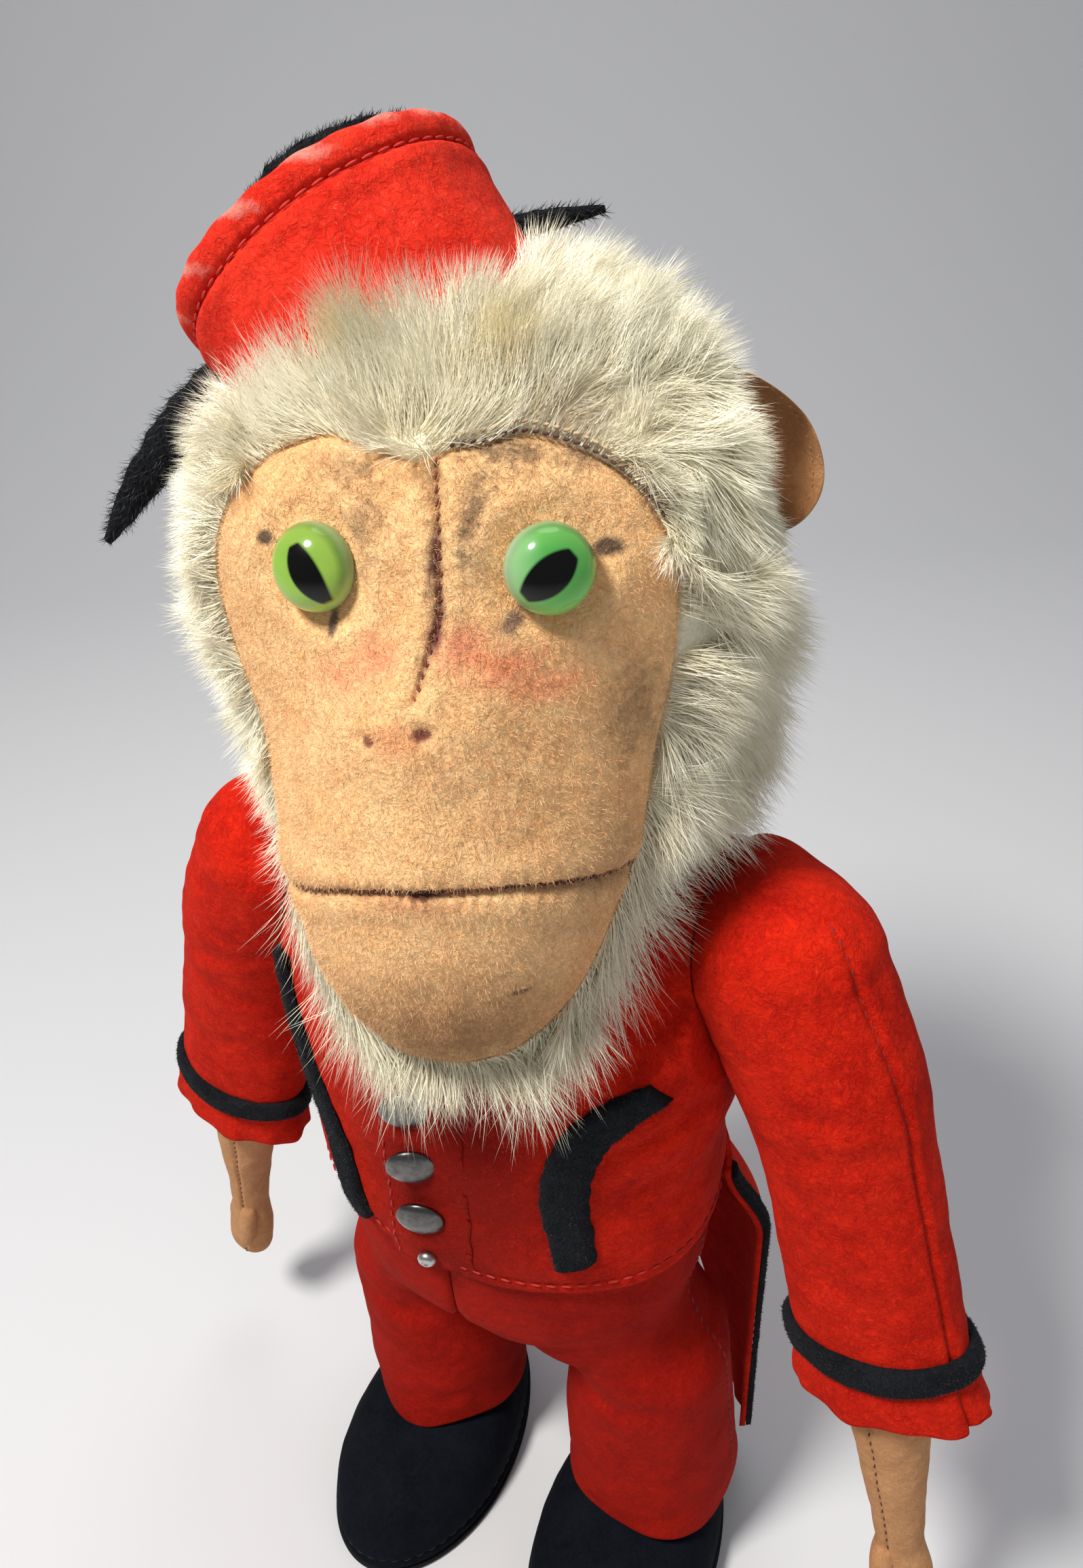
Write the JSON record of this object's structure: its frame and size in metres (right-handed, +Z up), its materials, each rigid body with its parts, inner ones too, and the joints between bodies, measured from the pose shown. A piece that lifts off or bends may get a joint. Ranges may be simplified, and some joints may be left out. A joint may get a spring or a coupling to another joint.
{
  "type": "jointed stuffed toy monkey",
  "caption": "Stuffed toy monkey in a felt coat, trousers, shoes and tilted hat; long pale hair, tan felt face and glass eyes; head, arms and legs turn on pinned board discs.",
  "frame": {"origin": "the middle of the whole figure's box, on the floor", "axes": "+Z up; the figure faces -Y, and its own left side is at +X"},
  "size_m": [0.1907, 0.0926, 0.3005],
  "materials": {
    "arm_left": "tan felt",
    "arm_right": "tan felt",
    "bow_knot": "black felt",
    "bow_loop": "black felt",
    "bow_tail_left": "black felt",
    "bow_tail_right": "black felt",
    "button_lower": "worn dark metal",
    "button_middle": "worn dark metal",
    "button_stud": "dull bent steel",
    "button_top": "worn dark metal",
    "chin_felt": "tan felt",
    "coat_tail_left": "red felt",
    "coat_tail_right": "red felt",
    "cuff_band_left": "black felt",
    "cuff_band_right": "black felt",
    "ear_left": "tan felt",
    "ear_right": "tan felt",
    "eye_left": "clear green glass with a dark slit",
    "eye_right": "clear green glass with a dark slit",
    "eye_wire_left": "dull bent steel",
    "eye_wire_right": "dull bent steel",
    "face_felt": "tan felt",
    "hat_side": "red felt",
    "hat_top": "red felt",
    "head_stuffing": "packed wood wool",
    "hip_disc_in_left": "pressed board",
    "hip_disc_in_right": "pressed board",
    "hip_disc_out_left": "pressed board",
    "hip_disc_out_right": "pressed board",
    "hip_pin_left": "dull bent steel",
    "hip_pin_right": "dull bent steel",
    "jacket": "red felt",
    "jacket_lap": "red felt",
    "leg_left": "packed wood wool",
    "leg_right": "packed wood wool",
    "mohair_hood": "long cream mohair pile",
    "neck_disc_high": "pressed board",
    "neck_disc_low": "pressed board",
    "neck_pin": "dull bent steel",
    "shoe_sole_left": "pressed board",
    "shoe_sole_right": "pressed board",
    "shoe_upper_left": "black felt",
    "shoe_upper_right": "black felt",
    "shoulder_disc_in_left": "pressed board",
    "shoulder_disc_in_right": "pressed board",
    "shoulder_disc_out_left": "pressed board",
    "shoulder_disc_out_right": "pressed board",
    "shoulder_pin_left": "dull bent steel",
    "shoulder_pin_right": "dull bent steel",
    "sleeve_left": "red felt",
    "sleeve_right": "red felt",
    "tail_edging_left": "black felt",
    "tail_edging_right": "black felt",
    "torso_stuffing": "packed wood wool",
    "trim_left": "black felt",
    "trim_right": "black felt",
    "trouser_leg_left": "dull red felt",
    "trouser_leg_right": "dull red felt",
    "trousers_seat": "dull red felt"
  },
  "bodies": {
    "torso": {"button_lower": "button_lower", "button_middle": "button_middle", "button_stud": "button_stud", "button_top": "button_top", "coat_tail_left": "coat_tail_left", "coat_tail_right": "coat_tail_right", "hip_disc_in_left": "hip_disc_in_left", "hip_disc_in_right": "hip_disc_in_right", "jacket": "jacket", "jacket_lap": "jacket_lap", "neck_disc_low": "neck_disc_low", "shoulder_disc_in_left": "shoulder_disc_in_left", "shoulder_disc_in_right": "shoulder_disc_in_right", "tail_edging_left": "tail_edging_left", "tail_edging_right": "tail_edging_right", "torso_stuffing": "torso_stuffing", "trim_left": "trim_left", "trim_right": "trim_right", "trousers_seat": "trousers_seat"},
    "head": {"bow_knot": "bow_knot", "bow_loop": "bow_loop", "bow_tail_left": "bow_tail_left", "bow_tail_right": "bow_tail_right", "chin_felt": "chin_felt", "ear_left": "ear_left", "ear_right": "ear_right", "eye_left": "eye_left", "eye_right": "eye_right", "eye_wire_left": "eye_wire_left", "eye_wire_right": "eye_wire_right", "face_felt": "face_felt", "hat_side": "hat_side", "hat_top": "hat_top", "head_stuffing": "head_stuffing", "mohair_hood": "mohair_hood", "neck_disc_high": "neck_disc_high", "neck_pin": "neck_pin"},
    "arm_left": {"arm_left": "arm_left", "cuff_band_left": "cuff_band_left", "shoulder_disc_out_left": "shoulder_disc_out_left", "shoulder_pin_left": "shoulder_pin_left", "sleeve_left": "sleeve_left"},
    "arm_right": {"arm_right": "arm_right", "cuff_band_right": "cuff_band_right", "shoulder_disc_out_right": "shoulder_disc_out_right", "shoulder_pin_right": "shoulder_pin_right", "sleeve_right": "sleeve_right"},
    "leg_left": {"hip_disc_out_left": "hip_disc_out_left", "hip_pin_left": "hip_pin_left", "leg_left": "leg_left", "shoe_sole_left": "shoe_sole_left", "shoe_upper_left": "shoe_upper_left", "trouser_leg_left": "trouser_leg_left"},
    "leg_right": {"hip_disc_out_right": "hip_disc_out_right", "hip_pin_right": "hip_pin_right", "leg_right": "leg_right", "shoe_sole_right": "shoe_sole_right", "shoe_upper_right": "shoe_upper_right", "trouser_leg_right": "trouser_leg_right"}
  },
  "joints": [
    {"name": "neck_turn", "type": "hinge", "parent": "torso", "child": "head", "pos_m": [0.0024, -0.0014, 0.19765], "axis": [0, 0, 1], "range_deg": [-44, 21]},
    {"name": "shoulder_left", "type": "hinge", "parent": "torso", "child": "arm_left", "pos_m": [0.04, 0.0044, 0.1775], "axis": [-0.9703, 0, -0.2419], "range_deg": [-46, 79]},
    {"name": "shoulder_right", "type": "hinge", "parent": "torso", "child": "arm_right", "pos_m": [-0.0395, -0.0006, 0.173], "axis": [-0.9703, 0, 0.2419], "range_deg": [-40, 85]},
    {"name": "hip_left", "type": "hinge", "parent": "torso", "child": "leg_left", "pos_m": [0.015, -0.0001, 0.088], "axis": [-1, 0, 0], "range_deg": [-3, 80]},
    {"name": "hip_right", "type": "hinge", "parent": "torso", "child": "leg_right", "pos_m": [-0.015, -0.0001, 0.088], "axis": [-1, 0, 0], "range_deg": [-3, 80]}
  ]
}
